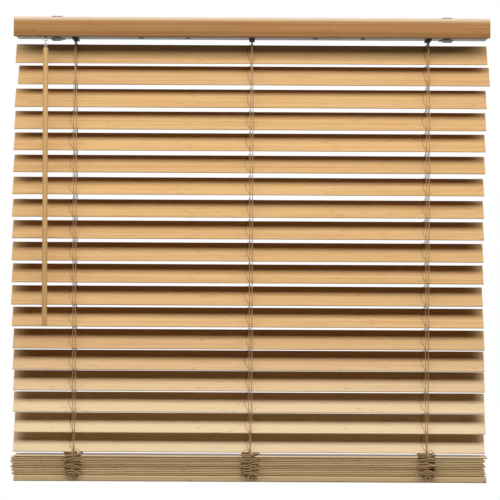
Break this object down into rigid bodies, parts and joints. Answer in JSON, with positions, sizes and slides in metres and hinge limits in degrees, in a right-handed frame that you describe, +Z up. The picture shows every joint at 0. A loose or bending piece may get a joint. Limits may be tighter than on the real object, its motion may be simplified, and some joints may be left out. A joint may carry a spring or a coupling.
{
  "type": "bamboo venetian blind",
  "caption": "Horizontal bamboo slat blind on string ladders under a steel headrail with a bamboo valance, tilted by a hanging wand and part raised on spring motors.",
  "frame": {"origin": "midway between the two ceiling screw holes, on top of the brackets", "axes": "+Z up, front of the blind towards -Y, slats along X with the wand at -X"},
  "size_m": [1.0074, 0.0883, 0.9821],
  "materials": {
    "bamboo_slat": "satin lacquer",
    "bamboo_rail": "satin lacquer",
    "bamboo_valance": "satin lacquer",
    "bamboo_wand": "satin lacquer",
    "cord": "braided polyester",
    "headrail_steel": "satin",
    "zinc_steel": "zinc plated",
    "bright_wire": "bright",
    "pale_plastic": "moulded",
    "dark_plastic": "moulded"
  },
  "bodies": {
    "headrail": {"headrail": "headrail_steel", "headrail_end_caps": "pale_plastic", "headrail_lift_cords": "cord", "valance": "bamboo_valance", "valance_clips": "pale_plastic", "bracket_left": "zinc_steel", "bracket_right": "zinc_steel", "latch_pins": "zinc_steel", "tilter_housing": "dark_plastic", "tilter_cover": "dark_plastic", "spring_motor_case_left": "dark_plastic", "spring_motor_case_right": "dark_plastic", "spring_motor_covers": "dark_plastic", "ladder_cradle_left": "dark_plastic", "ladder_cradle_middle": "dark_plastic", "ladder_cradle_right": "dark_plastic"},
    "latch_left": {"bracket_latch_left": "zinc_steel"},
    "latch_right": {"bracket_latch_right": "zinc_steel"},
    "tilt_rod": {"tilt_rod": "zinc_steel", "worm_wheel": "dark_plastic", "tilt_drum_left": "dark_plastic", "tilt_drum_middle": "dark_plastic", "tilt_drum_right": "dark_plastic"},
    "worm_shaft": {"worm_shaft": "dark_plastic"},
    "wand_ring": {"wand_ring": "bright_wire"},
    "wand_hook": {"wand_hook": "bright_wire"},
    "wand": {"wand_ferrule": "bright_wire", "wand_rod": "bamboo_wand"},
    "ladder_front": {"front_ladder_cords": "cord", "front_lift_cords": "cord"},
    "ladder_rear": {"rear_ladder_cords": "cord", "rear_lift_cords": "cord"},
    "stack": {"stacked_slats": "bamboo_slat", "bottom_rail": "bamboo_rail", "rail_plugs": "dark_plastic", "cord_bunches": "cord"},
    "cord_spool_left": {"cord_spool_left": "dark_plastic"},
    "cord_spool_right": {"cord_spool_right": "dark_plastic"},
    "spring_drum_left": {"spring_drum_left": "dark_plastic"},
    "spring_drum_right": {"spring_drum_right": "dark_plastic"},
    "slat_01": {"slat_01": "bamboo_slat"},
    "slat_02": {"slat_02": "bamboo_slat"},
    "slat_03": {"slat_03": "bamboo_slat"},
    "slat_04": {"slat_04": "bamboo_slat"},
    "slat_05": {"slat_05": "bamboo_slat"},
    "slat_06": {"slat_06": "bamboo_slat"},
    "slat_07": {"slat_07": "bamboo_slat"},
    "slat_08": {"slat_08": "bamboo_slat"},
    "slat_09": {"slat_09": "bamboo_slat"},
    "slat_10": {"slat_10": "bamboo_slat"},
    "slat_11": {"slat_11": "bamboo_slat"},
    "slat_12": {"slat_12": "bamboo_slat"},
    "slat_13": {"slat_13": "bamboo_slat"},
    "slat_14": {"slat_14": "bamboo_slat"},
    "slat_15": {"slat_15": "bamboo_slat"},
    "slat_16": {"slat_16": "bamboo_slat"},
    "slat_17": {"slat_17": "bamboo_slat"},
    "slat_18": {"slat_18": "bamboo_slat"},
    "slat_19": {"slat_19": "bamboo_slat"}
  },
  "joints": [
    {"name": "tilt", "type": "hinge", "parent": "headrail", "child": "slat_01", "pos_m": [0, 0, -0.0792], "axis": [1, 0, 0], "range_deg": [-114.33, 16.33]},
    {"name": "slat_02_tilt", "type": "hinge", "parent": "headrail", "child": "slat_02", "pos_m": [0, 0, -0.12424], "axis": [1, 0, 0], "range_deg": [-114.83, 16.83]},
    {"name": "slat_03_tilt", "type": "hinge", "parent": "headrail", "child": "slat_03", "pos_m": [0, 0, -0.17264], "axis": [1, 0, 0], "range_deg": [-114.83, 16.83]},
    {"name": "slat_04_tilt", "type": "hinge", "parent": "headrail", "child": "slat_04", "pos_m": [0, 0, -0.2196], "axis": [1, 0, 0], "range_deg": [-114.83, 16.83]},
    {"name": "slat_05_tilt", "type": "hinge", "parent": "headrail", "child": "slat_05", "pos_m": [0, 0, -0.26464], "axis": [1, 0, 0], "range_deg": [-114.83, 16.83]},
    {"name": "slat_06_tilt", "type": "hinge", "parent": "headrail", "child": "slat_06", "pos_m": [0, 0, -0.31124], "axis": [1, 0, 0], "range_deg": [-114.83, 16.83]},
    {"name": "slat_07_tilt", "type": "hinge", "parent": "headrail", "child": "slat_07", "pos_m": [0, 0, -0.35796], "axis": [1, 0, 0], "range_deg": [-114.83, 16.83]},
    {"name": "slat_08_tilt", "type": "hinge", "parent": "headrail", "child": "slat_08", "pos_m": [0, 0, -0.40516], "axis": [1, 0, 0], "range_deg": [-114.83, 16.83]},
    {"name": "slat_09_tilt", "type": "hinge", "parent": "headrail", "child": "slat_09", "pos_m": [0, 0, -0.45044], "axis": [1, 0, 0], "range_deg": [-114.83, 16.83]},
    {"name": "slat_10_tilt", "type": "hinge", "parent": "headrail", "child": "slat_10", "pos_m": [0, 0, -0.4968], "axis": [1, 0, 0], "range_deg": [-114.83, 16.83]},
    {"name": "slat_11_tilt", "type": "hinge", "parent": "headrail", "child": "slat_11", "pos_m": [0, 0, -0.54268], "axis": [1, 0, 0], "range_deg": [-114.83, 16.83]},
    {"name": "slat_12_tilt", "type": "hinge", "parent": "headrail", "child": "slat_12", "pos_m": [0, 0, -0.5894], "axis": [1, 0, 0], "range_deg": [-114.83, 16.83]},
    {"name": "slat_13_tilt", "type": "hinge", "parent": "headrail", "child": "slat_13", "pos_m": [0, 0, -0.63504], "axis": [1, 0, 0], "range_deg": [-114.83, 16.83]},
    {"name": "slat_14_tilt", "type": "hinge", "parent": "headrail", "child": "slat_14", "pos_m": [0, 0, -0.6814], "axis": [1, 0, 0], "range_deg": [-114.83, 16.83]},
    {"name": "slat_15_tilt", "type": "hinge", "parent": "headrail", "child": "slat_15", "pos_m": [0, 0, -0.72596], "axis": [1, 0, 0], "range_deg": [-114.83, 16.83]},
    {"name": "slat_16_tilt", "type": "hinge", "parent": "headrail", "child": "slat_16", "pos_m": [0, 0, -0.76968], "axis": [1, 0, 0], "range_deg": [-114.83, 16.83]},
    {"name": "slat_17_tilt", "type": "hinge", "parent": "headrail", "child": "slat_17", "pos_m": [0, 0, -0.81472], "axis": [1, 0, 0], "range_deg": [-114.83, 16.83]},
    {"name": "slat_18_tilt", "type": "hinge", "parent": "headrail", "child": "slat_18", "pos_m": [0, 0, -0.85844], "axis": [1, 0, 0], "range_deg": [-114.83, 16.83]},
    {"name": "slat_19_tilt", "type": "hinge", "parent": "headrail", "child": "slat_19", "pos_m": [0, 0, -0.8994], "axis": [1, 0, 0], "range_deg": [-114.83, 16.83]},
    {"name": "ladder_front_swing", "type": "hinge", "parent": "slat_01", "child": "ladder_front", "pos_m": [0, -0.0132, -0.09877], "axis": [1, 0, 0], "range_deg": [-17.33, 115.33]},
    {"name": "ladder_rear_swing", "type": "hinge", "parent": "slat_01", "child": "ladder_rear", "pos_m": [0, 0.0132, -0.05964], "axis": [1, 0, 0], "range_deg": [-17.33, 115.33]},
    {"name": "tilt_rod_turn", "type": "hinge", "parent": "headrail", "child": "tilt_rod", "pos_m": [0, 0, -0.021], "axis": [1, 0, 0], "range_deg": [-169, 25]},
    {"name": "worm_turn", "type": "hinge", "parent": "headrail", "child": "worm_shaft", "pos_m": [-0.433, -0.0351, -0.0475], "axis": [0, 0.5446, 0.8387], "range_deg": [-2522, 362]},
    {"name": "wand_twist", "type": "hinge", "parent": "headrail", "child": "wand_ring", "pos_m": [-0.433, -0.0351, -0.0475], "axis": [0, 0, 1], "range_deg": [-2522, 362]},
    {"name": "wand_swing_out", "type": "hinge", "parent": "wand_ring", "child": "wand_hook", "pos_m": [-0.433, -0.0351, -0.0555], "axis": [-1, 0, 0], "range_deg": [0, 30]},
    {"name": "wand_swing_side", "type": "hinge", "parent": "wand_hook", "child": "wand", "pos_m": [-0.433, -0.0351, -0.0624], "axis": [0, 1, 0], "range_deg": [-25, 25]},
    {"name": "latch_left_swivel", "type": "hinge", "parent": "headrail", "child": "latch_left", "pos_m": [-0.4115, 0.018, -0.0475], "axis": [0, 0, -1], "range_deg": [0, 90]},
    {"name": "latch_right_swivel", "type": "hinge", "parent": "headrail", "child": "latch_right", "pos_m": [0.4115, 0.018, -0.0475], "axis": [0, 0, 1], "range_deg": [0, 90]},
    {"name": "lift", "type": "slide", "parent": "headrail", "child": "stack", "axis": [0, 0, 1], "range_m": [-0.012, 0.002]},
    {"name": "cord_spool_left_turn", "type": "hinge", "parent": "headrail", "child": "cord_spool_left", "pos_m": [-0.22177, 0, -0.021], "axis": [0, 0, 1], "range_deg": [-77.39, 13.73]},
    {"name": "spring_drum_left_turn", "type": "hinge", "parent": "headrail", "child": "spring_drum_left", "pos_m": [-0.14577, 0, -0.021], "axis": [0, 0, 1], "range_deg": [-8.16, 43.97]},
    {"name": "cord_spool_right_turn", "type": "hinge", "parent": "headrail", "child": "cord_spool_right", "pos_m": [0.22177, 0, -0.021], "axis": [0, 0, 1], "range_deg": [-77.39, 13.73]},
    {"name": "spring_drum_right_turn", "type": "hinge", "parent": "headrail", "child": "spring_drum_right", "pos_m": [0.14577, 0, -0.021], "axis": [0, 0, 1], "range_deg": [-8.16, 43.97]}
  ],
  "couplings": [
    {"joint": "slat_02_tilt", "follows": "tilt", "ratio": 1},
    {"joint": "slat_03_tilt", "follows": "tilt", "ratio": 1},
    {"joint": "slat_04_tilt", "follows": "tilt", "ratio": 1},
    {"joint": "slat_05_tilt", "follows": "tilt", "ratio": 1},
    {"joint": "slat_06_tilt", "follows": "tilt", "ratio": 1},
    {"joint": "slat_07_tilt", "follows": "tilt", "ratio": 1},
    {"joint": "slat_08_tilt", "follows": "tilt", "ratio": 1},
    {"joint": "slat_09_tilt", "follows": "tilt", "ratio": 1},
    {"joint": "slat_10_tilt", "follows": "tilt", "ratio": 1},
    {"joint": "slat_11_tilt", "follows": "tilt", "ratio": 1},
    {"joint": "slat_12_tilt", "follows": "tilt", "ratio": 1},
    {"joint": "slat_13_tilt", "follows": "tilt", "ratio": 1},
    {"joint": "slat_14_tilt", "follows": "tilt", "ratio": 1},
    {"joint": "slat_15_tilt", "follows": "tilt", "ratio": 1},
    {"joint": "slat_16_tilt", "follows": "tilt", "ratio": 1},
    {"joint": "slat_17_tilt", "follows": "tilt", "ratio": 1},
    {"joint": "slat_18_tilt", "follows": "tilt", "ratio": 1},
    {"joint": "slat_19_tilt", "follows": "tilt", "ratio": 1},
    {"joint": "ladder_front_swing", "follows": "tilt", "ratio": -1},
    {"joint": "ladder_rear_swing", "follows": "tilt", "ratio": -1},
    {"joint": "tilt_rod_turn", "follows": "tilt", "ratio": 1.4694},
    {"joint": "worm_turn", "follows": "tilt", "ratio": 22.041},
    {"joint": "wand_twist", "follows": "tilt", "ratio": 22.041},
    {"joint": "cord_spool_left_turn", "follows": "lift", "rad_per_m": 111.11},
    {"joint": "spring_drum_left_turn", "follows": "lift", "rad_per_m": -62.5},
    {"joint": "cord_spool_right_turn", "follows": "lift", "rad_per_m": 111.11},
    {"joint": "spring_drum_right_turn", "follows": "lift", "rad_per_m": -62.5}
  ]
}
